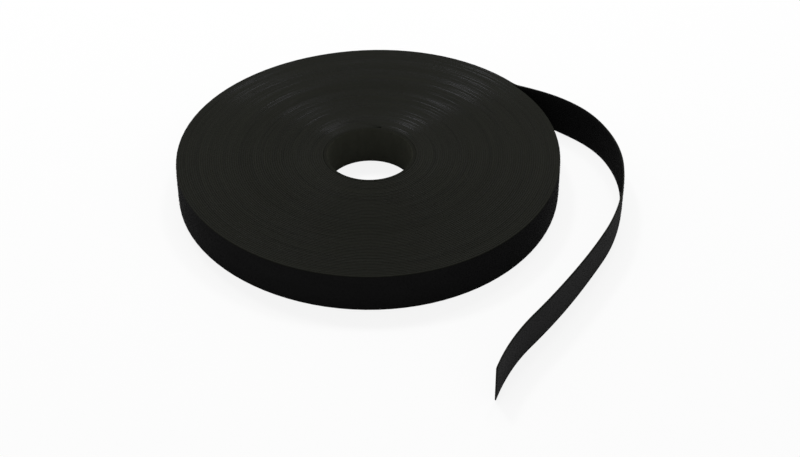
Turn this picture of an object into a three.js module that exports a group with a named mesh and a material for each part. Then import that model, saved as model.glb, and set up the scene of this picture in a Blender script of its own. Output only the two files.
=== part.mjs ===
// A roll of black hook and loop tape, lying flat, with its free end peeled off and curling away.
// Millimetres, +Z up. The origin is the middle of the roll: on its axis, half way up the tape's width.
import * as THREE from 'three';
import { mergeVertices } from 'three/addons/utils/BufferGeometryUtils.js';

// The tape: two webs joined back to back, hooks towards the core and loops outward
const TAPE_WIDTH = 20;
const HOOK_WEB = 0.28;
const LOOP_WEB = 0.28;
const BOND_GAP = 0.1;
const NAP_GAP = 0.41;

// The roll
const ROLL_DIAMETER = 190.5;
const WOUND_TURNS = 12;
const TURN_STEPS = 40;
const END_GAP = 0.3;

// The core tube
const BORE_DIAMETER = 43;
const CORE_WALL = 1.5;
const CORE_CHAMFER = 0.4;

// The adhesive tab that holds the first turn on the core
const TAB_THICKNESS = 0.3;
const TAB_CLEARANCE = 0.1;
const TAB_WIDTH = 16;
const TAB_STEPS = 4;

// The free end: where it leaves the roll, its length along the bottom edge, and its runs as a share of
// that length and a turn, which counts as positive towards the roll
const TAKE_OFF_DEGREES = 41;
const TAIL_LENGTH = 262;
const TAIL_RUNS = [
  { share: 0.017, turn: -27.5 },
  { share: 0.133, turn: 21.5 },
  { share: 0.122, turn: 29.4 },
  { share: 0.109, turn: 22.0 },
  { share: 0.197, turn: 24.2 },
  { share: 0.267, turn: 9.1 },
  { share: 0.155, turn: -19.5 },
];
const TAIL_LEANS = [0, -1.3, 4.5, 4.6, 3.1];
const TAIL_END_SLANT = 2.4;
const TAIL_STEP_DEGREES = 4.5;
const TAIL_STEP_LENGTH = 12;

// Sizes that follow from these
const TURN_PITCH = HOOK_WEB + BOND_GAP + LOOP_WEB + NAP_GAP;
const ROLL_RADIUS = ROLL_DIAMETER / 2;
const CORE_INNER = BORE_DIAMETER / 2;
const CORE_OUTER = CORE_INNER + CORE_WALL;
const WINDING_INNER = CORE_OUTER + TAB_THICKNESS + 2 * TAB_CLEARANCE;
const TAKE_OFF = THREE.MathUtils.degToRad(TAKE_OFF_DEGREES);
const STEP_ANGLE = (2 * Math.PI) / TURN_STEPS;
const WOUND_STEPS = WOUND_TURNS * TURN_STEPS;

// Corners of a band's side triangles between one section, 0 to 3, and the next, 4 to 7
const BAND_TRIANGLES = [0, 1, 5, 0, 5, 4, 1, 2, 6, 1, 6, 5, 2, 3, 7, 2, 7, 6, 0, 7, 3, 0, 4, 7];

const plasticBlack = new THREE.MeshStandardMaterial({ color: 0x1d1e1a, roughness: 0.42, metalness: 0 });
const adhesiveAmber = new THREE.MeshStandardMaterial({ color: 0xcdbf94, roughness: 0.5, metalness: 0 });
const turnsBlack = new THREE.MeshStandardMaterial({ color: 0x20211d, roughness: 0.8, metalness: 0 });
const hookBlack = new THREE.MeshStandardMaterial({ color: 0x141414, roughness: 0.55, metalness: 0 });
const loopBlack = new THREE.MeshStandardMaterial({ color: 0x101011, roughness: 0.95, metalness: 0 });

/** A point on the ring of angles that every turn shares, counted in steps back from the take-off. */
function ringPoint(step, radius) {
  const angle = TAKE_OFF + step * STEP_ANGLE;
  return new THREE.Vector2(radius * Math.cos(angle), radius * Math.sin(angle));
}

/** Radius of the tape's outer face, a number of steps back from the take-off. */
function turnRadius(step) {
  return ROLL_RADIUS - (TURN_PITCH * step) / TURN_STEPS;
}

/** Leaves only merged positions on a geometry. */
function welded(geometry) {
  geometry.deleteAttribute('normal');
  geometry.deleteAttribute('uv');
  const merged = mergeVertices(geometry, 1e-4);
  merged.computeVertexNormals();
  return merged;
}

/** A flat outline raised through a height that is centred on the middle of the tape's width. */
function raised(shape, height) {
  const geometry = new THREE.ExtrudeGeometry(shape, { depth: height, bevelEnabled: false, steps: 1 });
  geometry.translate(0, 0, -height / 2);
  return welded(geometry);
}

/** Joins sections of four corners, inner and outer bottom then outer and inner top, into a closed band. */
function band(sections) {
  const positions = sections.flat().flatMap((corner) => corner.toArray());
  const last = 4 * (sections.length - 1);
  const indices = [0, 3, 2, 0, 2, 1];
  for (let i = 0; i < last; i += 4) {
    for (const corner of BAND_TRIANGLES) indices.push(i + corner);
  }
  indices.push(last, last + 1, last + 2, last, last + 2, last + 3);
  const geometry = new THREE.BufferGeometry();
  geometry.setAttribute('position', new THREE.Float32BufferAttribute(positions, 3));
  geometry.setIndex(indices);
  geometry.computeVertexNormals();
  return geometry;
}

/** The wound turns of one web in one band, from the plain inner turns out to the take-off. */
function woundWeb(name, outset, thickness) {
  const half = TAPE_WIDTH / 2;
  const plan = [];
  for (let step = WOUND_STEPS; step >= 0; step -= 1) {
    const outer = turnRadius(step) - outset;
    plan.push([ringPoint(step, outer - thickness), ringPoint(step, outer)]);
  }
  const share = END_GAP / plan[0][1].distanceTo(plan[1][1]);
  plan[0] = plan[0].map((point, n) => point.clone().lerp(plan[1][n], share));
  console.log(`${name}: least gap to itself ${leastGap(plan).toFixed(3)} mm`);
  return band(plan.map(([inner, outer]) => [
    new THREE.Vector3(inner.x, inner.y, -half),
    new THREE.Vector3(outer.x, outer.y, -half),
    new THREE.Vector3(outer.x, outer.y, half),
    new THREE.Vector3(inner.x, inner.y, half),
  ]));
}

/** Least distance between the faces of a wound web, from each turn's inner face to the turn inside it. */
function leastGap(plan) {
  const flat = (point) => new THREE.Vector3(point.x, point.y, 0);
  const near = new THREE.Vector3();
  let least = Infinity;
  for (let i = TURN_STEPS; i < plan.length; i += 1) {
    const point = flat(plan[i][0]);
    const from = Math.max(i - TURN_STEPS - 4, 0);
    const to = Math.min(i - TURN_STEPS + 4, i - 1);
    for (let j = from; j < to; j += 1) {
      new THREE.Line3(flat(plan[j][1]), flat(plan[j + 1][1])).closestPointToPoint(point, true, near);
      least = Math.min(least, near.distanceTo(point));
    }
  }
  return least;
}

/** The inner turns as one plain ring, whose outside follows the first wound turn. */
function innerTurns() {
  const outline = [];
  for (let step = WOUND_STEPS; step <= WOUND_STEPS + TURN_STEPS; step += 1) {
    outline.push(ringPoint(step, turnRadius(step)));
  }
  const hole = [];
  for (let step = 0; step < TURN_STEPS; step += 1) hole.push(ringPoint(-step, WINDING_INNER));
  const shape = new THREE.Shape(outline);
  shape.holes.push(new THREE.Path(hole));
  return raised(shape, TAPE_WIDTH);
}

/** The core tube, turned from its wall's section with a small chamfer on each rim. */
function coreTube() {
  const half = TAPE_WIDTH / 2;
  const c = CORE_CHAMFER;
  const section = [
    [CORE_INNER, -half + c],
    [CORE_INNER + c, -half],
    [CORE_OUTER - c, -half],
    [CORE_OUTER, -half + c],
    [CORE_OUTER, half - c],
    [CORE_OUTER - c, half],
    [CORE_INNER + c, half],
    [CORE_INNER, half - c],
    [CORE_INNER, -half + c],
  ].map(([radius, height]) => new THREE.Vector2(radius, height));
  const geometry = new THREE.LatheGeometry(section, TURN_STEPS, TAKE_OFF + Math.PI / 2);
  geometry.rotateX(Math.PI / 2);
  return welded(geometry);
}

/** The adhesive tab, bent round the core under the start of the tape. */
function startTab() {
  const outline = [];
  for (let step = 0; step <= TAB_STEPS; step += 1) {
    outline.push(ringPoint(step, WINDING_INNER - TAB_CLEARANCE));
  }
  for (let step = TAB_STEPS; step >= 0; step -= 1) {
    outline.push(ringPoint(step, CORE_OUTER + TAB_CLEARANCE));
  }
  return raised(new THREE.Shape(outline), TAB_WIDTH);
}

const bondRadius = ROLL_RADIUS - LOOP_WEB - BOND_GAP / 2;

/** Place and heading on the free end's bond line, a length along it from the take-off. */
function tailRoute(length) {
  const place = ringPoint(0, bondRadius);
  let heading = TAKE_OFF - Math.PI / 2;
  let left = length;
  TAIL_RUNS.forEach((run, n) => {
    const final = n === TAIL_RUNS.length - 1;
    const whole = TAIL_LENGTH * run.share;
    const part = final ? left : Math.min(left, whole);
    const turned = (-THREE.MathUtils.degToRad(run.turn) * part) / whole;
    const chord = turned === 0 ? part : (2 * part * Math.sin(turned / 2)) / turned;
    place.x += chord * Math.cos(heading + turned / 2);
    place.y += chord * Math.sin(heading + turned / 2);
    heading += turned;
    left -= part;
  });
  return { place, heading };
}

/** Lean of the free end's top edge away from the roll, eased between the stated leans. */
function tailLean(length) {
  const spans = TAIL_LEANS.length - 1;
  const at = Math.min(length / TAIL_LENGTH, 1) * spans;
  const n = Math.min(Math.floor(at), spans - 1);
  const eased = THREE.MathUtils.smoothstep(at - n, 0, 1);
  return THREE.MathUtils.degToRad(THREE.MathUtils.lerp(TAIL_LEANS[n], TAIL_LEANS[n + 1], eased));
}

/** A point of the free end: along its length, out from the bond line and up from mid width. */
function tailPoint(length, out, rise) {
  const { place, heading } = tailRoute(length);
  const lean = tailLean(length);
  const side = new THREE.Vector3(-Math.sin(heading), Math.cos(heading), 0);
  const level = out * Math.cos(lean) + rise * Math.sin(lean);
  const height = rise * Math.cos(lean) - out * Math.sin(lean);
  return new THREE.Vector3(place.x, place.y, height).addScaledVector(side, level);
}

/** Lengths along the free end at which its sections stand. */
function tailStations() {
  const stations = [END_GAP];
  let start = 0;
  for (const run of TAIL_RUNS) {
    const whole = TAIL_LENGTH * run.share;
    const byTurn = Math.ceil(Math.abs(run.turn) / TAIL_STEP_DEGREES);
    const count = Math.max(byTurn, Math.ceil(whole / TAIL_STEP_LENGTH));
    for (let n = 1; n <= count; n += 1) stations.push(start + (whole * n) / count);
    start += whole;
  }
  return stations;
}

/** One web of the free end, between two distances out from the bond line. */
function tailWeb(inner, outer, hinge) {
  const half = TAPE_WIDTH / 2;
  const stations = tailStations();
  const geometry = band(stations.map((length, n) => {
    const top = length + (n === stations.length - 1 ? TAIL_END_SLANT : 0);
    return [
      tailPoint(length, inner, -half),
      tailPoint(length, outer, -half),
      tailPoint(top, outer, half),
      tailPoint(top, inner, half),
    ];
  }));
  geometry.translate(-hinge.x, -hinge.y, 0);
  return geometry;
}

/** A named piece. */
function piece(name, geometry, material) {
  const mesh = new THREE.Mesh(geometry, material);
  mesh.name = name;
  return mesh;
}

const hinge = ringPoint(0, ROLL_RADIUS);
const back = BOND_GAP / 2;

const roll = new THREE.Group();
roll.add(
  piece('core_tube', coreTube(), plasticBlack),
  piece('start_tab', startTab(), adhesiveAmber),
  piece('inner_turns', innerTurns(), turnsBlack),
  piece('hook_web_turns', woundWeb('hook web', LOOP_WEB + BOND_GAP, HOOK_WEB), hookBlack),
  piece('loop_web_turns', woundWeb('loop web', 0, LOOP_WEB), loopBlack),
);

const tail = new THREE.Group();
tail.position.set(hinge.x, hinge.y, 0);
tail.add(
  piece('hook_web_tail', tailWeb(-back - HOOK_WEB, -back, hinge), hookBlack),
  piece('loop_web_tail', tailWeb(back, back + LOOP_WEB, hinge), loopBlack),
);

const tapeRoll = new THREE.Group();
tapeRoll.add(roll, tail);

export default tapeRoll;
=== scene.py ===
"""A roll of black hook and loop tape, lying flat, with its free end peeled off and curling away."""

import logging
import math
from collections.abc import Callable, Mapping, Sequence
from dataclasses import dataclass, replace
from enum import Enum

import bpy
import numpy as np
from mathutils import Matrix, Vector


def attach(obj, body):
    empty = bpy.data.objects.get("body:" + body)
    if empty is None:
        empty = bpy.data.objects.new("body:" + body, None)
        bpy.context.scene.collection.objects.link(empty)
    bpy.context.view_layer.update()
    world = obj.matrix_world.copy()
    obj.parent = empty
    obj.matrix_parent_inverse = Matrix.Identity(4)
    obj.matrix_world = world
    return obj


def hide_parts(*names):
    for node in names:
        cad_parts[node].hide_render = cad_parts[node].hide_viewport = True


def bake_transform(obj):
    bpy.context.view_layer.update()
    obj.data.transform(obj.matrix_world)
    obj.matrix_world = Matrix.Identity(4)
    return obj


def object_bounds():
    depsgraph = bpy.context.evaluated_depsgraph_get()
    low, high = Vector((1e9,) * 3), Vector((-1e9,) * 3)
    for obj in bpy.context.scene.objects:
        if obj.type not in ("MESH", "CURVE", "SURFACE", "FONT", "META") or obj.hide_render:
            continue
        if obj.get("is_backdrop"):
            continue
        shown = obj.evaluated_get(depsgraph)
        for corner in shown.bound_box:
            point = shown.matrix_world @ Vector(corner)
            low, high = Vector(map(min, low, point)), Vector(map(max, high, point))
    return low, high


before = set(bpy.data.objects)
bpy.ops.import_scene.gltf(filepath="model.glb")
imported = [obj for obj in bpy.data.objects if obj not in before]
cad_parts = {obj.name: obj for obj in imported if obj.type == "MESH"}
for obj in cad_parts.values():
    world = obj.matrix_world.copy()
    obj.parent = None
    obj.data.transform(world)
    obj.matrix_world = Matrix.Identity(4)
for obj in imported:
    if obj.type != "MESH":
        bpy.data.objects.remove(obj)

LOG = logging.getLogger("tape_roll")
PLACE = "tape_place"
MM = 0.001
FULL_TURN = 2 * math.pi
MIDDLE = 0.5
WHITE = (1.0, 1.0, 1.0, 1.0)
FIRST_TURN_GAP = 0.15 * MM
TAB_SEAT = 0.03 * MM
Settings = Mapping[str, object]
Colour = tuple[float, float, float]


class Body(Enum):
    """The two bodies that the joint at the take-off links."""

    ROLL = "roll"
    TAIL = "tail"


class Slot(Enum):
    """The record's material slots; no new piece here is given one."""

    CORE = "core"
    ADHESIVE = "adhesive"
    HOOK = "hook"
    LOOP = "loop"


class Side(Enum):
    """The two sides of the tape, as the sign of the way out from the bond line."""

    HOOK = -1
    LOOP = 1


class Signal:
    """A shader socket that takes part in Python arithmetic by adding Math nodes."""

    def __init__(self, graph: "Graph", socket: bpy.types.NodeSocket) -> None:
        """Keeps the socket and the graph that it belongs to."""
        self.graph = graph
        self.socket = socket

    def _math(self, operation: str, first: "Value", second: "Value") -> "Signal":
        """Adds one Math node.

        Args:
            operation: The Math node's operation.
            first: Number or signal for its first value.
            second: Number or signal for its second value.

        Returns:
            The node's result.
        """
        sockets = {"Value": first, "Value_001": second}
        return self.graph.signal("ShaderNodeMath", {"operation": operation}, sockets)

    def __add__(self, other: "Value") -> "Signal":
        """Adds a number or signal."""
        return self._math("ADD", self, other)

    def __radd__(self, other: "Value") -> "Signal":
        """Adds to a number."""
        return self._math("ADD", other, self)

    def __sub__(self, other: "Value") -> "Signal":
        """Takes a number or signal away."""
        return self._math("SUBTRACT", self, other)

    def __rsub__(self, other: "Value") -> "Signal":
        """Takes from a number."""
        return self._math("SUBTRACT", other, self)

    def __mul__(self, other: "Value") -> "Signal":
        """Multiplies by a number or signal."""
        return self._math("MULTIPLY", self, other)

    def __rmul__(self, other: "Value") -> "Signal":
        """Multiplies a number."""
        return self._math("MULTIPLY", other, self)

    def sine(self) -> "Signal":
        """Gives the sine of the value in radians."""
        return self._math("SINE", self, 0.0)

    def at_most(self, other: "Value") -> "Signal":
        """Gives the lesser of this and another value."""
        return self._math("MINIMUM", self, other)

    def at_least(self, other: "Value") -> "Signal":
        """Gives the greater of this and another value."""
        return self._math("MAXIMUM", self, other)

    def clamped(self) -> "Signal":
        """Keeps the value from 0 to 1."""
        return self.at_least(0.0).at_most(1.0)

    def swing(self, strength: float) -> "Signal":
        """Gives how far noise is from its middle, times a strength."""
        return (self - MIDDLE) * strength


Value = float | Signal


class Graph:
    """A node tree that is written as Python."""

    def __init__(self, tree: bpy.types.NodeTree) -> None:
        """Empties the tree."""
        self.tree = tree
        tree.nodes.clear()

    def node(self, kind: str, settings: Settings, sockets: Settings) -> bpy.types.Node:
        """Makes a node of any type.

        Args:
            kind: The node's type name.
            settings: Properties of the node, which are set first.
            sockets: Values or links for its inputs, by identifier or name.

        Returns:
            The new node.
        """
        made = self.tree.nodes.new(kind)
        for name, value in settings.items():
            setattr(made, name, value)
        for name, value in sockets.items():
            named = [s for s in made.inputs if name in (s.identifier, s.name)]
            if isinstance(value, Signal):
                self.tree.links.new(value.socket, named[0])
            elif isinstance(value, bpy.types.NodeSocket):
                self.tree.links.new(value, named[0])
            else:
                named[0].default_value = value
        return made

    def signal(self, kind: str, settings: Settings, sockets: Settings, output: str = "") -> Signal:
        """Makes a node and gives one of its outputs.

        Args:
            kind: The node's type name.
            settings: Properties of the node.
            sockets: Values or links for its inputs.
            output: Identifier or name of the output, or nothing for the first.

        Returns:
            The output as a signal.
        """
        outputs = self.node(kind, settings, sockets).outputs
        named = [s for s in outputs if output in (s.identifier, s.name)]
        return Signal(self, (named or list(outputs))[0])

    def split(self, vector: Signal) -> tuple[Signal, Signal, Signal]:
        """Gives a vector's three values.

        Args:
            vector: The vector.

        Returns:
            Its X, Y and Z.
        """
        parts = self.node("ShaderNodeSeparateXYZ", {}, {"Vector": vector}).outputs
        x, y, z = (Signal(self, socket) for socket in parts)
        return x, y, z

    def place(self) -> tuple[Signal, Signal, Signal]:
        """Gives a point's place on the tape in metres: along it, across it and out from its bond line."""
        return self.split(self.signal("ShaderNodeAttribute", {"attribute_name": PLACE}, {}, "Vector"))

    def noise(self, point: Sequence[Value], detail: float = 2.0, roughness: float = 0.5) -> Signal:
        """Gives noise from 0 to 1 with features about one unit across.

        Args:
            point: Three numbers or signals, in feature sizes. A plain number only picks a slice.
            detail: How many finer layers are added.
            roughness: How strong the finer layers are.

        Returns:
            The noise.
        """
        sockets = dict(zip("XYZ", point, strict=True))
        vector = self.signal("ShaderNodeCombineXYZ", {}, sockets)
        values = {"Vector": vector, "Scale": 1.0, "Detail": detail, "Roughness": roughness}
        return self.signal("ShaderNodeTexNoise", {"noise_dimensions": "3D"}, values)

    def mix(self, share: Signal, low: Colour | Signal, high: Colour) -> Signal:
        """Mixes two colours.

        Args:
            share: Share of the second colour, from 0 to 1.
            low: The first colour.
            high: The second colour.

        Returns:
            The mixed colour.
        """
        first = low if isinstance(low, Signal) else (*low, 1.0)
        sockets = {"Factor_Float": share, "A_Color": first, "B_Color": (*high, 1.0)}
        return self.signal("ShaderNodeMix", {"data_type": "RGBA"}, sockets, "Result_Color")

    def bump(self, height: Signal, strength: float, distance: float) -> Signal:
        """Turns a height from 0 to 1 into a bumped normal."""
        sockets = {"Height": height, "Strength": strength, "Distance": distance}
        return self.signal("ShaderNodeBump", {}, sockets)

    def surface(self, sockets: Settings) -> None:
        """Ends a material with a Principled shader."""
        shader = self.signal("ShaderNodeBsdfPrincipled", {}, sockets)
        self.node("ShaderNodeOutputMaterial", {}, {"Surface": shader})


def new_graph(name: str) -> tuple[bpy.types.Material, Graph]:
    """Makes a material with an empty node graph.

    Args:
        name: The material's name.

    Returns:
        The material and its graph.
    """
    material = bpy.data.materials.new(name)
    material.use_nodes = True
    return material, Graph(material.node_tree)


@dataclass(frozen=True)
class CutEdgeFinish:
    """The slit edge of a web, as the roll's face shows it: lines along the turns and a fine grain.

    Features across the tape and out from its bond line are counted per metre.
    """

    name: str
    dark: Colour
    pale: Colour
    smooth: float
    rough: float
    specular: float
    anisotropy: float
    # The highlights are tinted blue, a painted colour of the light that they reflect.
    gloss: Colour = (0.84, 0.84, 1.0)
    gloss_turn: float = 0.25
    streak_length: float = 42 * MM
    streaks_across: float = 30.0
    streak_tone: float = 1.3
    streak_wear: float = 4.0
    band_length: float = 3000 * MM
    band_wear: float = 2.0
    grain_length: float = 0.7 * MM
    grains_across: float = 900.0
    grains_out: float = 9000.0
    grain_tone: float = 0.9
    relief: float = 0.05 * MM
    bump: float = 0.25

    def make(self) -> bpy.types.Material:
        """Builds the material.

        Returns:
            The material.
        """
        material, graph = new_graph(self.name)
        along, across, out = graph.place()
        drift = graph.noise((along * (1 / self.streak_length), across * self.streaks_across, 0.5))
        bands = graph.noise((along * (1 / self.band_length), 0.5, 7.5))
        point = (along * (1 / self.grain_length), across * self.grains_across, out * self.grains_out)
        grain = graph.noise(point, detail=3.0, roughness=0.65)
        share = (drift.swing(self.streak_tone) + grain.swing(self.grain_tone) + MIDDLE).clamped()
        worn = (drift.swing(self.streak_wear) + bands.swing(self.band_wear) + MIDDLE).clamped()
        graph.surface({
            "Base Color": graph.mix(share, self.dark, self.pale),
            "Roughness": worn * (self.rough - self.smooth) + self.smooth,
            "Specular IOR Level": self.specular,
            "Specular Tint": (*self.gloss, 1.0),
            "Anisotropic": self.anisotropy,
            "Anisotropic Rotation": self.gloss_turn,
            "Normal": graph.bump(grain, self.bump, self.relief),
        })
        return material


@dataclass(frozen=True)
class LoopClothFinish:
    """Knitted cloth with a brushed pile: wales along it, courses across it, fuzz and a paler band along
    the cut edges.

    The wander of the knit and the wear are counted per metre. The paler band is partly fraying and partly
    painted light, which lifts the shade of the grooves between turns.
    """

    name: str
    sheen: float
    sheen_spread: float = 0.85
    dark: Colour = (0.0033, 0.0033, 0.0034)
    pale: Colour = (0.0082, 0.0081, 0.0082)
    wale_pitch: float = 0.75 * MM
    wale_wander: float = 3.0
    course_pitch: float = 0.6 * MM
    course_wander: float = 4.0
    wanders: float = 130.0
    knit_depth: float = 0.25
    fuzz_size: float = 0.45 * MM
    fuzz_share: float = 0.5
    wear_along: float = 55.0
    wear_across: float = 160.0
    height_tone: float = 0.7
    wear_tone: float = 0.5
    tone_drop: float = 0.1
    rough: float = 0.98
    fuzz_gloss: float = 0.16
    relief: float = 0.12 * MM
    bump: float = 0.55
    specular: float = 0.03
    # Colour of the paler band at the cut edges: partly fraying, partly painted light in the grooves
    # between turns.
    frayed_and_groove_light: Colour = (0.0150, 0.0154, 0.0122)
    fray_light_start: float = 9.6 * MM
    fray_light_width: float = 0.2 * MM

    def make(self) -> bpy.types.Material:
        """Builds the material.

        Returns:
            The material.
        """
        material, graph = new_graph(self.name)
        along, across, _ = graph.place()
        wander = graph.noise((along * self.wanders, across * self.wanders, 3.1), detail=1.0)
        wales = (across * (FULL_TURN / self.wale_pitch) + wander * self.wale_wander).sine()
        courses = (along * (FULL_TURN / self.course_pitch) + wander * self.course_wander).sine()
        per_fuzz = 1 / self.fuzz_size
        fuzz = graph.noise((along * per_fuzz, across * per_fuzz, 1.7), detail=4.0, roughness=0.7)
        knit = wales * courses * self.knit_depth + MIDDLE
        height = knit * (1 - self.fuzz_share) + fuzz * self.fuzz_share
        worn = graph.noise((along * self.wear_along, across * self.wear_across, 8.3), detail=3.0)
        share = (height * self.height_tone + worn * self.wear_tone - self.tone_drop).clamped()
        # The band along each cut edge is paler: partly fraying, partly painted light in the grooves
        # between turns.
        off_centre = across.at_least(0.0 - across)
        fray_and_groove_light_share = ((off_centre - self.fray_light_start) * (1 / self.fray_light_width)).clamped()
        cloth = graph.mix(share, self.dark, self.pale)
        graph.surface({
            "Base Color": graph.mix(fray_and_groove_light_share, cloth, self.frayed_and_groove_light),
            "Roughness": self.rough - fuzz * self.fuzz_gloss,
            "Specular IOR Level": self.specular,
            "Sheen Weight": self.sheen,
            "Sheen Roughness": self.sheen_spread,
            "Normal": graph.bump(height, self.bump, self.relief),
        })
        return material


@dataclass(frozen=True)
class HookFilmFinish:
    """Extruded plastic film: fine die lines along it, a soft satin and dust between the hooks.

    Changes along a die line and grains of dust are counted per metre.
    """

    name: str
    dark: Colour = (0.0058, 0.0058, 0.0059)
    pale: Colour = (0.0132, 0.0132, 0.0130)
    rib_pitch: float = 1.0 * MM
    rib_share: float = 0.6
    line_width: float = 0.16 * MM
    line_changes: float = 20.0
    line_tone: float = 0.25
    dust_grains: float = 900.0
    dust_tone: float = 0.9
    dust_rough: float = 0.24
    smooth: float = 0.55
    relief: float = 0.08 * MM
    bump: float = 0.4
    specular: float = 0.01

    def make(self) -> bpy.types.Material:
        """Builds the material.

        Returns:
            The material.
        """
        material, graph = new_graph(self.name)
        along, across, _ = graph.place()
        ribs = (across * (FULL_TURN / self.rib_pitch)).sine() * 0.5 + 0.5
        lines = graph.noise((along * self.line_changes, across * (1 / self.line_width), 5.2))
        point = (along * self.dust_grains, across * self.dust_grains, 2.4)
        dust = graph.noise(point, detail=4.0, roughness=0.7)
        share = ((1 - ribs) * dust * self.dust_tone + lines * self.line_tone).clamped()
        height = ribs * self.rib_share + lines * (1 - self.rib_share)
        graph.surface({
            "Base Color": graph.mix(share, self.dark, self.pale),
            "Roughness": self.smooth + dust * self.dust_rough,
            "Specular IOR Level": self.specular,
            "Normal": graph.bump(height, self.bump, self.relief),
        })
        return material


@dataclass(frozen=True)
class MouldedPlasticFinish:
    """The core's dark plastic: a fine moulded grain, faint lines round it and scuffs.

    Lines and scuffs are counted per metre, sideways and up the core.
    """

    name: str
    dark: Colour
    pale: Colour
    grain_size: float = 0.35 * MM
    grain_share: float = 0.6
    grain_tone: float = 0.3
    lines_aside: float = 25.0
    lines_up: float = 2600.0
    scuffs_aside: float = 190.0
    scuffs_up: float = 90.0
    scuff_tone: float = 0.9
    scuff_rough: float = 0.22
    tone_drop: float = 0.15
    smooth: float = 0.62
    relief: float = 0.03 * MM
    bump: float = 0.25
    specular: float = 0.01

    def make(self) -> bpy.types.Material:
        """Builds the material.

        Returns:
            The material.
        """
        material, graph = new_graph(self.name)
        x, y, z = graph.split(graph.signal("ShaderNodeTexCoord", {}, {}, "Object"))
        per_grain = 1 / self.grain_size
        grain = graph.noise((x * per_grain, y * per_grain, z * per_grain), detail=3.0, roughness=0.6)
        lines = graph.noise((x * self.lines_aside, y * self.lines_aside, z * self.lines_up))
        point = (x * self.scuffs_aside, y * self.scuffs_aside, z * self.scuffs_up)
        scuffs = graph.noise(point, detail=4.0, roughness=0.7)
        share = (scuffs * self.scuff_tone + grain * self.grain_tone - self.tone_drop).clamped()
        height = grain * self.grain_share + lines * (1 - self.grain_share)
        graph.surface({
            "Base Color": graph.mix(share, self.dark, self.pale),
            "Roughness": self.smooth + scuffs * self.scuff_rough,
            "Specular IOR Level": self.specular,
            "Normal": graph.bump(height, self.bump, self.relief),
        })
        return material


@dataclass(frozen=True)
class AdhesiveFinish:
    """The clear amber film of the tab that starts the winding, with trapped air."""

    name: str = "tab_adhesive"
    dark: Colour = (0.30, 0.22, 0.10)
    pale: Colour = (0.55, 0.47, 0.29)
    bubble_size: float = 1.3 * MM
    bubble_tone: float = 1.2
    bubble_rough: float = 0.3
    smooth: float = 0.3
    relief: float = 0.05 * MM
    bump: float = 0.3

    def make(self) -> bpy.types.Material:
        """Builds the material.

        Returns:
            The material.
        """
        material, graph = new_graph(self.name)
        point = graph.signal("ShaderNodeTexCoord", {}, {}, "Object")
        sockets = {"Vector": point, "Scale": 1 / self.bubble_size}
        cells = graph.signal("ShaderNodeTexVoronoi", {"feature": "F1"}, sockets)
        share = (cells * self.bubble_tone).at_most(1.0)
        graph.surface({
            "Base Color": graph.mix(share, self.dark, self.pale),
            "Roughness": self.smooth + share * self.bubble_rough,
            "Normal": graph.bump(share, self.bump, self.relief),
        })
        return material


def eased(part: np.ndarray) -> np.ndarray:
    """Eases a share from 0 to 1, so that it starts and ends level."""
    return part * part * (3 - 2 * part)


def eased_between(knots: np.ndarray, at: np.ndarray) -> np.ndarray:
    """Gives values that ease from one knot to the next.

    Args:
        knots: The values at 0, 1, 2 and so on.
        at: Places among the knots, none below 0.

    Returns:
        A value for each place.
    """
    whole = np.minimum(np.floor(at).astype(int), len(knots) - 2)
    share = eased(at - whole)
    return knots[whole] * (1 - share) + knots[whole + 1] * share


def smooth_drift(places: np.ndarray, spacing: float, seed: int) -> np.ndarray:
    """Gives smooth values from -1 to 1 that wander along a length.

    Args:
        places: Lengths along, none below 0.
        spacing: Length from one turning point to the next.
        seed: Seed of the draw.

    Returns:
        A value for each place.
    """
    count = int(places.max() / spacing) + 2
    knots = np.random.default_rng(seed).uniform(-1.0, 1.0, count)
    return eased_between(knots, places / spacing)


def new_object(
    name: str,
    points: np.ndarray,
    faces: Sequence[Sequence[int]],
    finishes: Sequence[int],
    materials: Sequence[bpy.types.Material],
    place: np.ndarray | None = None,
) -> bpy.types.Object:
    """Makes a smooth mesh object at the origin.

    Args:
        name: The object's name.
        points: Vertices, one row each, in metres.
        faces: Vertex numbers of each face.
        finishes: Material number of each face.
        materials: The object's materials.
        place: Each vertex's place on the tape, where the finish needs it.

    Returns:
        The object, linked to the scene.
    """
    mesh = bpy.data.meshes.new(name)
    mesh.from_pydata(points.tolist(), [], faces)
    for material in materials:
        mesh.materials.append(material)
    mesh.polygons.foreach_set("material_index", list(finishes))
    mesh.shade_smooth()
    if place is not None:
        attribute = mesh.attributes.new(PLACE, "FLOAT_VECTOR", "POINT")
        attribute.data.foreach_set("vector", place.astype(np.float32).ravel())
    mesh.validate()
    mesh.update()
    made = bpy.data.objects.new(name, mesh)
    bpy.context.scene.collection.objects.link(made)
    LOG.info("%s: %d faces", name, len(mesh.polygons))
    return made


def swept_faces(rows: int, corners: int, closed: bool) -> list[list[int]]:
    """Gives the faces of an outline that is swept along a line.

    Args:
        rows: How many outlines there are.
        corners: Points in each outline.
        closed: Whether the last outline joins the first, which leaves no ends to cap.

    Returns:
        The faces, sides first and then any two caps.
    """
    faces = []
    for row in range(rows if closed else rows - 1):
        here = row * corners
        there = (row + 1) % rows * corners
        for corner in range(corners):
            after = (corner + 1) % corners
            faces.append([here + corner, here + after, there + after, there + corner])
    if not closed:
        faces.append(list(range(corners))[::-1])
        faces.append([(rows - 1) * corners + corner for corner in range(corners)])
    return faces


@dataclass(frozen=True)
class Run:
    """One stretch of the free end: its share of the length, and its turn towards the roll in degrees."""

    share: float
    turn: float


@dataclass(frozen=True)
class Lobe:
    """One way in which the roll is out of round: how many bulges, how high, and where one is."""

    bulges: int
    height: float
    azimuth: float


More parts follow.
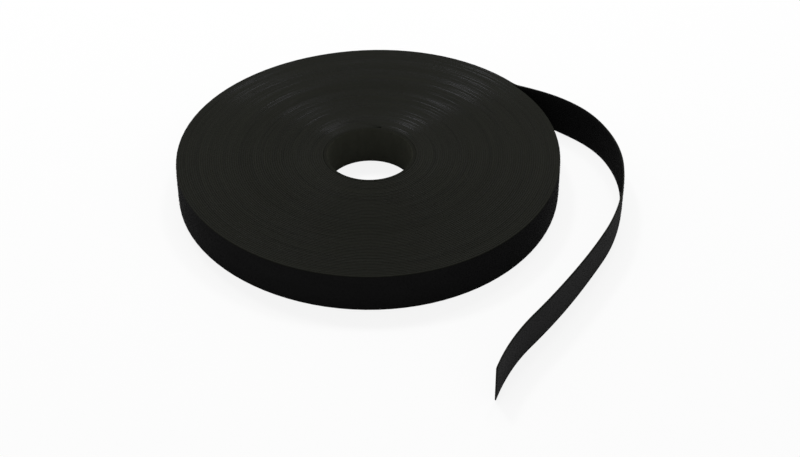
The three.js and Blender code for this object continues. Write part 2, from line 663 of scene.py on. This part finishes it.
@dataclass(frozen=True)
class TapeRoute:
    """Where the tape goes: wound on the core from its start, then off along the free end.

    The first turn climbs over the tape's start within first_step of a turn. Further out the climb
    grows longer, and after settled_turns it is even all round. The leans are in degrees, at even
    steps along the free end.
    """

    start_radius: float
    roll_radius: float = 95.65 * MM
    bond_inset: float = 0.5 * MM
    lobes: tuple[Lobe, ...] = (
        Lobe(1, 0.32 * MM, math.radians(39.0)),
        Lobe(2, 0.65 * MM, math.radians(39.3)),
        Lobe(3, 0.80 * MM, math.radians(47.0)),
    )
    turns: float = 66.1
    first_step: float = 0.0125
    settled_turns: float = 60.0
    take_off: float = math.radians(39.3)
    free_length: float = 257.7 * MM
    runs: tuple[Run, ...] = (
        Run(0.0171, -26.2),
        Run(0.1367, 21.1),
        Run(0.0864, 22.1),
        Run(0.1307, 26.2),
        Run(0.2060, 24.6),
        Run(0.2714, 9.2),
        Run(0.1517, -18.8),
    )
    leans: tuple[float, ...] = (0.0, 6.0, 0.0, 0.0, 1.3, 2.5, 1.8, 2.3, 0.8)

    @property
    def bond_radius(self) -> float:
        """Radius of the bond line at the take-off."""
        return self.roll_radius - self.bond_inset

    @property
    def pitch(self) -> float:
        """Step from one turn to the next."""
        return (self.bond_radius - self.start_radius) / self.turns

    def swell(self, angle: np.ndarray, radius: np.ndarray) -> np.ndarray:
        """Gives how far the roll bulges at an azimuth, which fades towards the round core.

        Args:
            angle: Azimuth.
            radius: Radius of the turn there, were it round.

        Returns:
            The distance out.
        """
        bulge = sum(lobe.height * np.cos(lobe.bulges * (angle - lobe.azimuth)) for lobe in self.lobes)
        return bulge * (radius / self.bond_radius) ** 2

    def length_back(self, turns: np.ndarray) -> np.ndarray:
        """Gives the length of tape from the take-off back over a number of turns."""
        return FULL_TURN * (self.bond_radius * turns - self.pitch * turns * turns / 2)

    def wound_at(self, along: np.ndarray, out: np.ndarray, rise: np.ndarray) -> np.ndarray:
        """Gives points on the wound tape by length, which is below 0 there and 0 at the take-off.

        Args:
            along: Length along the tape.
            out: Distance out from the bond line.
            rise: Height above the middle of the tape's width.

        Returns:
            The points, with a last axis of three.
        """
        squared = self.bond_radius * self.bond_radius + along * self.pitch / math.pi
        turns = (self.bond_radius - np.sqrt(squared)) / self.pitch
        return self.wound(turns, out, rise)

    def wound(self, turns: np.ndarray, out: np.ndarray, rise: np.ndarray) -> np.ndarray:
        """Gives points on the wound tape, whose turns lie round the core and climb over where it starts.

        Args:
            turns: Turns back from the take-off.
            out: Distance out from the bond line.
            rise: Height above the middle of the tape's width.

        Returns:
            The points, with a last axis of three.
        """
        angle = self.take_off + FULL_TURN * turns
        from_start = self.turns - turns
        whole = np.floor(from_start)
        settling = self.first_step + (1 - self.first_step) * from_start / self.settled_turns
        step = np.clip(settling, None, 1.0)
        climb = np.clip((from_start - whole - 1 + step) / step, 0.0, 1.0)
        radius = self.start_radius + self.pitch * (whole + climb)
        radius = radius + self.swell(angle, radius) + out
        return np.stack([radius * np.cos(angle), radius * np.sin(angle), rise], axis=-1)

    def free(self, length: np.ndarray, out: np.ndarray, rise: np.ndarray) -> np.ndarray:
        """Gives points on the free end.

        Args:
            length: Length along from the take-off.
            out: Distance out from the bond line, away from the roll.
            rise: Distance up the tape's width from its middle.

        Returns:
            The points, with a last axis of three.
        """
        radius = self.bond_radius + self.swell(np.array(self.take_off), np.array(self.bond_radius))
        x = np.full(length.shape, radius * math.cos(self.take_off))
        y = np.full(length.shape, radius * math.sin(self.take_off))
        heading = np.full(length.shape, self.take_off - math.pi / 2)
        left = length.copy()
        for run in self.runs:
            whole = self.free_length * run.share
            part = left if run is self.runs[-1] else np.minimum(left, whole)
            turned = -math.radians(run.turn) / whole * part
            chord = part * np.sinc(turned / 2 / math.pi)
            x += chord * np.cos(heading + turned / 2)
            y += chord * np.sin(heading + turned / 2)
            heading += turned
            left = left - part
        lean = self.lean(length)
        level = out * np.cos(lean) + rise * np.sin(lean)
        height = rise * np.cos(lean) - out * np.sin(lean)
        return np.stack([x - np.sin(heading) * level, y + np.cos(heading) * level, height], axis=-1)

    def lean(self, length: np.ndarray) -> np.ndarray:
        """Gives the lean of the free end's top edge away from the roll, eased between the stated leans.

        Args:
            length: Length along from the take-off.

        Returns:
            The lean at each length, in radians.
        """
        at = np.clip(length / self.free_length, 0.0, 1.0) * (len(self.leans) - 1)
        return eased_between(np.radians(np.array(self.leans)), at)


@dataclass(frozen=True)
class Web:
    """The section of one web: a plain selvage along each edge and a raised field between them."""

    side: Side
    width: float
    selvage: float
    thickness: float
    selvage_thickness: float
    edge_round: float
    edge_slope: float
    crisp: bool
    ramp: float = 0.25 * MM

    def outline(self) -> np.ndarray:
        """Gives the closed section, going round from the back's top corner to its bottom one.

        Returns:
            Rows of out from the bond line and rise above the middle of the width.
        """
        half = self.width / 2
        low, high = self.edge_round, self.selvage_thickness - self.edge_round
        field_top = half - self.selvage - self.ramp
        upper = [
            (0.0, half - self.edge_round),
            (low, half),
            (high, half - self.edge_slope),
            (self.selvage_thickness, half - self.edge_slope - self.edge_round),
            (self.selvage_thickness, half - self.selvage),
            (self.thickness, field_top),
        ]
        lower = [(out, -rise) for out, rise in reversed(upper)]
        return np.array(upper + lower) * np.array([self.side.value, 1.0])

    def sharp_corners(self) -> list[int]:
        """Gives the numbers of the section's corners that stay sharp along the tape."""
        last = len(self.outline()) - 1
        return [1, 2, last - 2, last - 1] if self.crisp else []

    def side_finishes(self) -> list[int]:
        """Gives each side's finish: 0 for the field and back, 1 for an edge and 2 for a selvage."""
        upper = [1, 1, 1, 2, 0, 0]
        return upper + upper[-2::-1] + [0]


@dataclass(frozen=True)
class TapeFinishes:
    """The materials of one stretch of the tape."""

    hook_film: bpy.types.Material
    hook_edge: bpy.types.Material
    loop_cloth: bpy.types.Material
    loop_yarn: bpy.types.Material
    loop_edge: bpy.types.Material
    loop_selvage: bpy.types.Material

    @classmethod
    def make(cls, stretch: str, sheen: float) -> "TapeFinishes":
        """Makes the materials.

        Args:
            stretch: Name of the stretch of tape.
            sheen: How strongly its pile catches light from the side.

        Returns:
            The materials.
        """
        return cls(
            hook_film=HookFilmFinish(name=f"{stretch}_hook_film").make(),
            hook_edge=CutEdgeFinish(
                name=f"{stretch}_hook_edge",
                dark=(0.0069, 0.0071, 0.0054),
                pale=(0.0150, 0.0155, 0.0122),
                smooth=0.26,
                rough=0.56,
                specular=0.029,
                anisotropy=0.95,
            ).make(),
            loop_cloth=LoopClothFinish(name=f"{stretch}_loop_cloth", sheen=sheen).make(),
            loop_yarn=LoopClothFinish(
                name=f"{stretch}_loop_yarn",
                sheen=sheen,
                dark=(0.0034, 0.0034, 0.0035),
                pale=(0.0064, 0.0064, 0.0064),
                relief=0.03 * MM,
            ).make(),
            loop_edge=CutEdgeFinish(
                name=f"{stretch}_loop_edge",
                dark=(0.0079, 0.0082, 0.0062),
                pale=(0.0172, 0.0177, 0.0139),
                smooth=0.7,
                rough=0.9,
                specular=0.02,
                anisotropy=0.3,
            ).make(),
            loop_selvage=LoopClothFinish(
                name=f"{stretch}_loop_selvage",
                sheen=0.004,
                dark=(0.0030, 0.0030, 0.0028),
                pale=(0.0070, 0.0070, 0.0064),
                relief=0.05 * MM,
            ).make(),
        )

    def of_side(self, side: Side) -> list[bpy.types.Material]:
        """Gives the materials of a web.

        Args:
            side: The web's side of the tape.

        Returns:
            Its field, edge and selvage materials.
        """
        if side is Side.HOOK:
            return [self.hook_film, self.hook_edge, self.hook_film]
        return [self.loop_cloth, self.loop_edge, self.loop_selvage]


def web_mesh(
    name: str,
    web: Web,
    points: np.ndarray,
    along: np.ndarray,
    finishes: TapeFinishes,
) -> bpy.types.Object:
    """Makes one web from its sections.

    Args:
        name: The object's name.
        web: The web's section.
        points: Section points, by station and corner.
        along: Length along the tape of each section point.
        finishes: The tape's materials.

    Returns:
        The web, with its place on the tape kept on each vertex.
    """
    stations, corners = along.shape
    outline = web.outline()
    faces = swept_faces(stations, corners, closed=False)
    if web.side is Side.LOOP:
        faces = [face[::-1] for face in faces]
    sides = web.side_finishes() * (stations - 1) + [1, 1]
    place = np.stack([
        along,
        np.broadcast_to(outline[:, 1], along.shape),
        np.broadcast_to(outline[:, 0], along.shape),
    ], axis=-1)
    made = new_object(name, points.reshape(-1, 3), faces, sides, finishes.of_side(web.side), place)
    for face in list(made.data.polygons)[-2:]:
        face.use_smooth = False
    ends = np.zeros(2 * len(made.data.edges), dtype=np.int32)
    made.data.edges.foreach_get("vertices", ends)
    first, second = ends.reshape(-1, 2).T % corners
    sharp = (first == second) & np.isin(first, web.sharp_corners())
    made.data.edges.foreach_set("use_edge_sharp", sharp)
    return made


@dataclass(frozen=True)
class MouldedHook:
    """One moulded hook: a stem that rises from the film and curls over along the tape."""

    height: float = 0.42 * MM
    curl: float = 0.13 * MM
    end_degrees: float = -10.0
    root: float = 0.2 * MM
    tip: float = 0.09 * MM
    width: float = 0.2 * MM
    sink: float = 0.04 * MM
    arc_points: int = 4
    corners: int = 4

    def points(self) -> np.ndarray:
        """Gives the corners of the hook, four to a section.

        Returns:
            Rows of along, away from the film and across.
        """
        bends = np.radians(np.linspace(180.0, self.end_degrees, self.arc_points))
        along = np.concatenate([[0.0], self.curl * (1 + np.cos(bends))])
        away = np.concatenate([[-self.sink], self.height - self.curl + self.curl * np.sin(bends)])
        facing = np.concatenate([[math.pi], bends])
        half = np.linspace(self.root, self.tip, len(along)) / 2
        rows = []
        for middle, level, turn, reach in zip(along, away, facing, half, strict=True):
            ahead = reach * math.cos(turn)
            up = reach * math.sin(turn)
            for sign, side in ((1, -1), (1, 1), (-1, 1), (-1, -1)):
                rows.append((middle + sign * ahead, level + sign * up, side * self.width / 2))
        return np.array(rows)


@dataclass(frozen=True)
class PileLoop:
    """One loop of the brushed pile: a thin yarn that leaves the cloth and goes back in."""

    height: float = 0.16 * MM
    span: float = 0.55 * MM
    yarn: float = 0.045 * MM
    sink: float = 0.05 * MM
    arc_points: int = 5
    corners: int = 3

    def points(self) -> np.ndarray:
        """Gives the corners of the loop, three to a section.

        Returns:
            Rows of along, away from the cloth and across.
        """
        rows = []
        for turn in np.linspace(math.pi, 0.0, self.arc_points):
            middle = self.span / 2 * math.cos(turn)
            level = (self.height + self.sink) * math.sin(turn) - self.sink
            for corner in np.arange(self.corners) * FULL_TURN / self.corners:
                reach = self.yarn * math.cos(corner)
                aside = self.yarn * math.sin(corner)
                rows.append((middle + reach * math.cos(turn), level + reach * math.sin(turn), aside))
        return np.array(rows)


@dataclass(frozen=True)
class Spread:
    """How hooks or loops stand over a web: staggered rows along the tape within the raised field."""

    along_pitch: float
    across_pitch: float
    half_field: float
    jitter: float
    yaw: float
    sizes: tuple[float, float]
    seed: int


HOOK_ROWS = Spread(
    along_pitch=1.15 * MM,
    across_pitch=1.1 * MM,
    half_field=8.25 * MM,
    jitter=0.0,
    yaw=0.0,
    sizes=(0.96, 1.04),
    seed=31,
)
LOOSE_PILE = Spread(
    along_pitch=1.25 * MM,
    across_pitch=1.2 * MM,
    half_field=8.5 * MM,
    jitter=0.45 * MM,
    yaw=math.pi,
    sizes=(0.75, 1.2),
    seed=23,
)


@dataclass
class StandingForms:
    """Many copies of one small form that stand on a web, every other row of them facing back."""

    form: MouldedHook | PileLoop
    spread: Spread
    web: Web
    finish: bpy.types.Material

    def build(
        self,
        name: str,
        start: float,
        end: float,
        on: Callable[[np.ndarray, np.ndarray, np.ndarray], np.ndarray],
    ) -> bpy.types.Object:
        """Stands the copies between two lengths along the tape.

        Args:
            name: The object's name.
            start: First length along the tape.
            end: Last length along the tape.
            on: Gives points from lengths along, distances out and rises.

        Returns:
            The copies, as one object.
        """
        spread = self.spread
        draw = np.random.default_rng(spread.seed)
        last_row = spread.half_field + spread.across_pitch / 2
        rows = np.arange(-spread.half_field, last_row, spread.across_pitch)
        row, step = np.meshgrid(np.arange(len(rows)), np.arange(start, end, spread.along_pitch))
        back = (row % 2).ravel()
        count = len(back)
        staggered = step.ravel() + back * spread.along_pitch / 2
        along = staggered + draw.uniform(-spread.jitter, spread.jitter, count)
        across = rows[row].ravel() + draw.uniform(-spread.jitter, spread.jitter, count)
        yaw = draw.uniform(-spread.yaw, spread.yaw, count)[:, None]
        size = draw.uniform(*spread.sizes, count)[:, None]
        forward, away, aside = (column[None, :] * size for column in self.form.points().T)
        forward = forward * (1 - 2 * back)[:, None]
        lengths = along[:, None] + forward * np.cos(yaw) - aside * np.sin(yaw)
        rises = across[:, None] + forward * np.sin(yaw) + aside * np.cos(yaw)
        outs = self.web.side.value * (self.web.thickness + away)
        faces = self.faces((back == 1) != (self.web.side is Side.HOOK))
        points = on(lengths, outs, rises).reshape(-1, 3)
        place = np.stack([lengths, rises, outs], axis=-1)
        return new_object(name, points, faces, [0] * len(faces), [self.finish], place)

    def faces(self, turned: np.ndarray) -> list[list[int]]:
        """Gives the faces of all copies.

        Args:
            turned: Whether each copy is mirrored, which turns its faces round.

        Returns:
            The faces.
        """
        size = len(self.form.points())
        pattern = swept_faces(size // self.form.corners, self.form.corners, closed=False)
        faces = []
        for number, mirrored in enumerate(turned):
            for face in pattern:
                moved = [number * size + corner for corner in face]
                faces.append(moved[::-1] if mirrored else moved)
        return faces


@dataclass
class WoundTape:
    """The wound part of the tape: two webs back to back in one unbroken spiral from core to take-off."""

    route: TapeRoute
    webs: tuple[Web, Web]
    finishes: TapeFinishes
    pile: Spread = LOOSE_PILE
    steps_per_turn: int = 96
    edge_drift: float = 0.03 * MM
    drift_spacing: float = 38 * MM
    settle_length: float = 40 * MM
    seed: int = 11

    def build(self) -> list[bpy.types.Object]:
        """Builds both webs and the pile of the outermost turn, and places them in the frame.

        Returns:
            The hook web, the loop web and the pile.
        """
        hook, loop = (self.web(web) for web in self.webs)
        standing = StandingForms(PileLoop(), self.pile, self.webs[1], self.finishes.loop_yarn)
        outermost = -float(self.route.length_back(np.array(1.0)))
        pile = standing.build("outer_turn_loop_pile", outermost, 0.0, self.route.wound_at)
        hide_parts("hook_web_turns", "inner_turns")
        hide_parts("loop_web_turns")
        for made in (hook, loop, pile):
            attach(made, Body.ROLL.value)
        return [hook, loop, pile]

    def web(self, web: Web) -> bpy.types.Object:
        """Builds one web's spiral.

        Args:
            web: The web's section.

        Returns:
            The spiral.
        """
        count = int(self.route.turns * self.steps_per_turn) + 1
        turns = np.linspace(self.route.turns, 0.0, count)
        back = self.route.length_back(turns)
        settled = np.clip(back / self.settle_length, 0.0, 1.0)
        drift = smooth_drift(back, self.drift_spacing, self.seed) * self.edge_drift * settled
        outline = web.outline()
        shape = (count, len(outline))
        rise = outline[:, 1] + drift[:, None]
        out = np.broadcast_to(outline[:, 0], shape)
        points = self.route.wound(np.broadcast_to(turns[:, None], shape), out, rise)
        along = np.broadcast_to(-back[:, None], shape)
        return web_mesh(f"wound_{web.side.name.lower()}_web", web, points, along, self.finishes)


@dataclass
class FreeEnd:
    """The tape that has come off the roll: both webs, with the hooks and the loops that show on them."""

    route: TapeRoute
    webs: tuple[Web, Web]
    finishes: TapeFinishes
    hooks: Spread = HOOK_ROWS
    pile: Spread = replace(LOOSE_PILE, seed=37)
    station_step: float = 1.5 * MM
    cut_slant: float = 1.2 * MM
    bend_length: float = 12 * MM
    bare_start: float = 5 * MM
    bare_end: float = 1.2 * MM
    slim: float = 0.55
    slim_length: float = 14 * MM

    def build(self) -> list[bpy.types.Object]:
        """Returns:
            The hook web, the loop web, the hooks and the pile.
        """
        hook, loop = (self.web(web) for web in self.webs)
        hook_row = StandingForms(MouldedHook(), self.hooks, self.webs[0], self.finishes.hook_film)
        loop_row = StandingForms(PileLoop(), self.pile, self.webs[1], self.finishes.loop_yarn)
        last = self.route.free_length - self.bare_end
        hooks = hook_row.build("free_end_hooks", self.bare_start, last, self.laid)
        pile = loop_row.build("free_end_loop_pile", 0.0, last, self.laid)
        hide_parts("hook_web_tail")
        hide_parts("loop_web_tail")
        cut = (self.webs[0].width, self.route.free_length + self.cut_slant / 2)
        for web, standing, slot in ((hook, hooks, Slot.HOOK), (loop, pile, Slot.LOOP)):
            for made in (web, standing):
                self.bend(made)
        return [hook, loop, hooks, pile]

    def laid(self, length: np.ndarray, out: np.ndarray, rise: np.ndarray) -> np.ndarray:
        """Gives points on the free end, whose webs are film and cloth alone once they are off the roll.

        Args:
            length: Length along from the take-off.
            out: Distance out from the bond line, on webs as thick as the wound ones.
            rise: Distance up the tape's width from its middle.

        Returns:
            The points, with a last axis of three.
        """
        share = 1 - (1 - self.slim) * eased(np.clip(length / self.slim_length, 0.0, 1.0))
        inside = np.clip(out, -self.webs[0].thickness, self.webs[1].thickness)
        return self.route.free(length, inside * share + out - inside, rise)

    def bend(self, made: bpy.types.Object) -> None:
        """Bakes a piece's placement into its mesh; the ends of the first stretch past the take-off are
        worked out but not used, so the piece is not bent.

        Args:
            made: The piece.
        """
        ends = np.array([0.0, self.bend_length])
        start, end = self.route.free(ends, np.zeros(2), np.zeros(2))
        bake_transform(made)

    def web(self, web: Web) -> bpy.types.Object:
        """Builds one web of the free end, with its end cut on the slant.

        Args:
            web: The web's section.

        Returns:
            The web.
        """
        count = round(self.route.free_length / self.station_step) + 1
        lengths = np.linspace(0.0, self.route.free_length, count)
        outline = web.outline()
        shape = (count, len(outline))
        along = np.broadcast_to(lengths[:, None], shape).copy()
        along[-1] += self.cut_slant * (outline[:, 1] / web.width + 0.5)
        out = np.broadcast_to(outline[:, 0], shape)
        rise = np.broadcast_to(outline[:, 1], shape)
        points = self.laid(along, out, rise)
        return web_mesh(f"free_end_{web.side.name.lower()}_web", web, points, along, self.finishes)


@dataclass
class CoreTube:
    """The moulded tube that the tape is wound on, with rounded rims."""

    inner: float = 21.3 * MM
    outer: float = 23.0 * MM
    height: float = 20.0 * MM
    bore_round: float = 0.35 * MM
    seat_round: float = 0.12 * MM
    rim_steps: int = 5
    segments: int = 160

    def section(self) -> np.ndarray:
        """Gives the wall's section, with a rounded rim at each of its four corners.

        Returns:
            Rows of radius and height.
        """
        half = self.height / 2
        corners = [
            (self.outer - self.seat_round, 1, self.seat_round, 0.0),
            (self.inner + self.bore_round, 1, self.bore_round, 90.0),
            (self.inner + self.bore_round, -1, self.bore_round, 180.0),
            (self.outer - self.seat_round, -1, self.seat_round, 270.0),
        ]
        points = []
        for radius, end, curve, start in corners:
            for angle in np.radians(np.linspace(start, start + 90.0, self.rim_steps)):
                height = end * (half - curve) + curve * math.sin(angle)
                points.append((radius + curve * math.cos(angle), height))
        return np.array(points)

    def build(self) -> bpy.types.Object:
        """Turns the section round the axis, dresses it and puts it in the core's place.

        Returns:
            The tube.
        """
        section = self.section()
        angles = np.arange(self.segments) * FULL_TURN / self.segments
        radius = section[:, 0]
        points = np.stack([
            radius[None, :] * np.cos(angles)[:, None],
            radius[None, :] * np.sin(angles)[:, None],
            np.broadcast_to(section[:, 1], (self.segments, len(section))),
        ], axis=-1)
        faces = [face[::-1] for face in swept_faces(self.segments, len(section), closed=True)]
        # The bore wall is painted paler than the rims of the same moulded plastic, as painted light in
        # the shaded bore.
        bore = MouldedPlasticFinish(
            name="core_bore_painted_light",
            dark=(0.0245, 0.0253, 0.0192),
            pale=(0.0464, 0.0478, 0.0375),
        ).make()
        rims = MouldedPlasticFinish(
            name="core_rims",
            dark=(0.0074, 0.0077, 0.0058),
            pale=(0.0144, 0.0149, 0.0119),
        ).make()
        # The bore's paler finish goes half way round its two rims; it is painted light, lifting the shade
        # inside the bore and along the rims' rounding.
        bore_side = 2 * self.rim_steps - 1
        reach = self.rim_steps // 2
        sides = [int(abs(side - bore_side) > reach) for side in range(len(section))]
        finishes = sides * self.segments
        made = new_object("moulded_core_tube", points.reshape(-1, 3), faces, finishes, [bore, rims])
        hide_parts("core_tube")
        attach(made, Body.ROLL.value)
        return made


@dataclass
class StartTab:
    """The adhesive film between the core and the first turn, which lies close round the core."""

    inner: float
    thickness: float = 0.1 * MM
    width: float = 16 * MM
    start: float = math.radians(41.0)
    end: float = math.radians(77.0)
    stations: int = 25

    def build(self) -> bpy.types.Object:
        """Sweeps the film round the core, dresses it and puts it in the tab's place.

        Returns:
            The film.
        """
        half = self.width / 2
        section = np.array([(0.0, -half), (self.thickness, -half), (self.thickness, half), (0.0, half)])
        angles = np.linspace(self.start, self.end, self.stations)[:, None]
        radius = self.inner + section[None, :, 0]
        rise = np.broadcast_to(section[:, 1], (self.stations, len(section)))
        points = np.stack([radius * np.cos(angles), radius * np.sin(angles), rise], axis=-1)
        faces = [face[::-1] for face in swept_faces(self.stations, len(section), closed=False)]
        finish = AdhesiveFinish().make()
        made = new_object("start_tab_film", points.reshape(-1, 3), faces, [0] * len(faces), [finish])
        made.data.shade_flat()
        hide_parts("start_tab")
        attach(made, Body.ROLL.value)
        return made


@dataclass
class SoftLamp:
    """A soft rectangular lamp, aimed at the roll, with its angles in degrees."""

    name: str
    azimuth: float
    elevation: float
    distance: float
    size: tuple[float, float]
    power: float

    def build(self) -> bpy.types.Object:
        """Puts the lamp in its place and aims it at the origin.

        Returns:
            The lamp.
        """
        lamp = bpy.data.lights.new(self.name, "AREA")
        lamp.shape = "RECTANGLE"
        lamp.size, lamp.size_y = self.size
        lamp.energy = self.power
        made = bpy.data.objects.new(self.name, lamp)
        level = math.cos(math.radians(self.elevation))
        way = Vector((
            level * math.cos(math.radians(self.azimuth)),
            level * math.sin(math.radians(self.azimuth)),
            math.sin(math.radians(self.elevation)),
        ))
        made.location = way * self.distance
        made.rotation_mode = "QUATERNION"
        made.rotation_quaternion = way.to_track_quat("Z", "Y")
        bpy.context.scene.collection.objects.link(made)
        return made


@dataclass
class Studio:
    """The camera, the lamps, the white surroundings and the white floor, with angles in degrees."""

    distance: float = 0.8986
    elevation: float = 36.42
    yaw: float = -0.931
    pitch: float = -1.874
    roll: float = 0.737
    focal_length: float = 80.95
    sensor_width: float = 36.0
    floor_size: float = 6.0
    floor_white: float = 0.8
    floor_glow: float = 0.86
    fill: float = 0.53
    lamps: tuple[SoftLamp, ...] = (
        SoftLamp("lamp_back_left", 116.0, 57.0, 1.3, (0.18, 0.18), 5.5),
        SoftLamp("lamp_back_right", 63.0, 56.5, 1.3, (0.18, 0.18), 3.6),
        SoftLamp("lamp_back_wide", 90.0, 57.0, 1.3, (0.5, 0.2), 3.2),
    )

    def build(self, floor_level: float) -> None:
        """Sets up everything round the object.

        Args:
            floor_level: Height of the surface that the roll lies on.
        """
        bpy.context.scene.view_settings.view_transform = "Standard"
        self.camera()
        self.surroundings()
        self.floor(floor_level)
        for lamp in self.lamps:
            lamp.build()

    def camera(self) -> None:
        """Stands the camera where the roll is seen from a little above its front."""
        tilt = math.radians(self.elevation)
        forward = Vector((0.0, math.cos(tilt), -math.sin(tilt)))
        right = Vector((1.0, 0.0, 0.0))
        up = right.cross(forward)
        location = -forward * self.distance
        turn = Matrix.Rotation(math.radians(self.yaw), 3, up)
        forward, right = turn @ forward, turn @ right
        turn = Matrix.Rotation(math.radians(self.pitch), 3, right)
        forward, up = turn @ forward, turn @ up
        turn = Matrix.Rotation(math.radians(self.roll), 3, forward)
        right, up = turn @ right, turn @ up
        axes = Matrix((right, up, -forward)).transposed()
        data = bpy.data.cameras.new("camera")
        data.lens = self.focal_length
        data.sensor_width = self.sensor_width
        made = bpy.data.objects.new("camera", data)
        made.matrix_world = Matrix.Translation(location) @ axes.to_4x4()
        bpy.context.scene.collection.objects.link(made)
        bpy.context.scene.camera = made

    def seen(self, graph: Graph) -> Signal:
        """Tells the rays that show a surface to the camera, straight, by gloss or through glass.

        Args:
            graph: The graph that needs it.

        Returns:
            1 for such a ray and 0 for any other.
        """
        rays = graph.node("ShaderNodeLightPath", {}, {}).outputs
        straight, gloss, through = (
            Signal(graph, rays[f"Is {kind} Ray"]) for kind in ("Camera", "Glossy", "Transmission")
        )
        return (straight + gloss + through).at_most(1.0)

    def surroundings(self) -> None:
        """Makes the surroundings white to the camera and an even fill light for the object."""
        world = bpy.data.worlds.new("surroundings")
        world.use_nodes = True
        graph = Graph(world.node_tree)
        strength = self.seen(graph) * (1 - self.fill) + self.fill
        white = {"Color": WHITE, "Strength": strength}
        shader = graph.signal("ShaderNodeBackground", {}, white)
        graph.node("ShaderNodeOutputWorld", {}, {"Surface": shader})
        bpy.context.scene.world = world

    def floor(self, level: float) -> None:
        """Lays a white floor that keeps a soft shadow.

        Args:
            level: Height of the floor.
        """
        half = self.floor_size / 2
        signs = ((-1, -1), (1, -1), (1, 1), (-1, 1))
        corners = np.array([(half * x, half * y, level) for x, y in signs])
        material, graph = new_graph("white_floor")
        white = (self.floor_white, self.floor_white, self.floor_white, 1.0)
        lit = graph.signal("ShaderNodeBsdfDiffuse", {}, {"Color": white})
        glow = graph.signal("ShaderNodeEmission", {}, {"Color": WHITE, "Strength": 1.0})
        sockets = {"Fac": self.seen(graph) * self.floor_glow, "Shader": lit, "Shader_001": glow}
        shader = graph.signal("ShaderNodeMixShader", {}, sockets)
        graph.node("ShaderNodeOutputMaterial", {}, {"Surface": shader})
        floor = new_object("floor", corners, [[0, 1, 2, 3]], [0], [material])
        floor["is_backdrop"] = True


def main() -> None:
    """Builds the roll and its studio."""
    logging.basicConfig(level=logging.INFO, format="%(name)s: %(message)s")
    cad_low, cad_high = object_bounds()
    Studio().build(floor_level=cad_low.z)
    width = cad_high.z - cad_low.z
    hook_web = Web(
        side=Side.HOOK,
        width=width,
        selvage=1.0 * MM,
        thickness=0.52 * MM,
        selvage_thickness=0.52 * MM,
        edge_round=0.03 * MM,
        edge_slope=0.13 * MM,
        crisp=True,
    )
    loop_web = Web(
        side=Side.LOOP,
        width=width,
        selvage=1.0 * MM,
        thickness=0.53 * MM,
        selvage_thickness=0.52 * MM,
        edge_round=0.05 * MM,
        edge_slope=0.0,
        crisp=False,
    )
    webs = (hook_web, loop_web)
    core = CoreTube(height=width)
    route = TapeRoute(start_radius=core.outer + FIRST_TURN_GAP + hook_web.thickness)
    pieces = [core.build(), StartTab(inner=core.outer + TAB_SEAT).build()]
    pieces += WoundTape(route, webs, TapeFinishes.make("wound", sheen=0.004)).build()
    pieces += FreeEnd(route, webs, TapeFinishes.make("free_end", sheen=0.036)).build()
    for made in pieces:
        LOG.info("%s is in place", made.name)


if __name__ == "__main__":
    main()
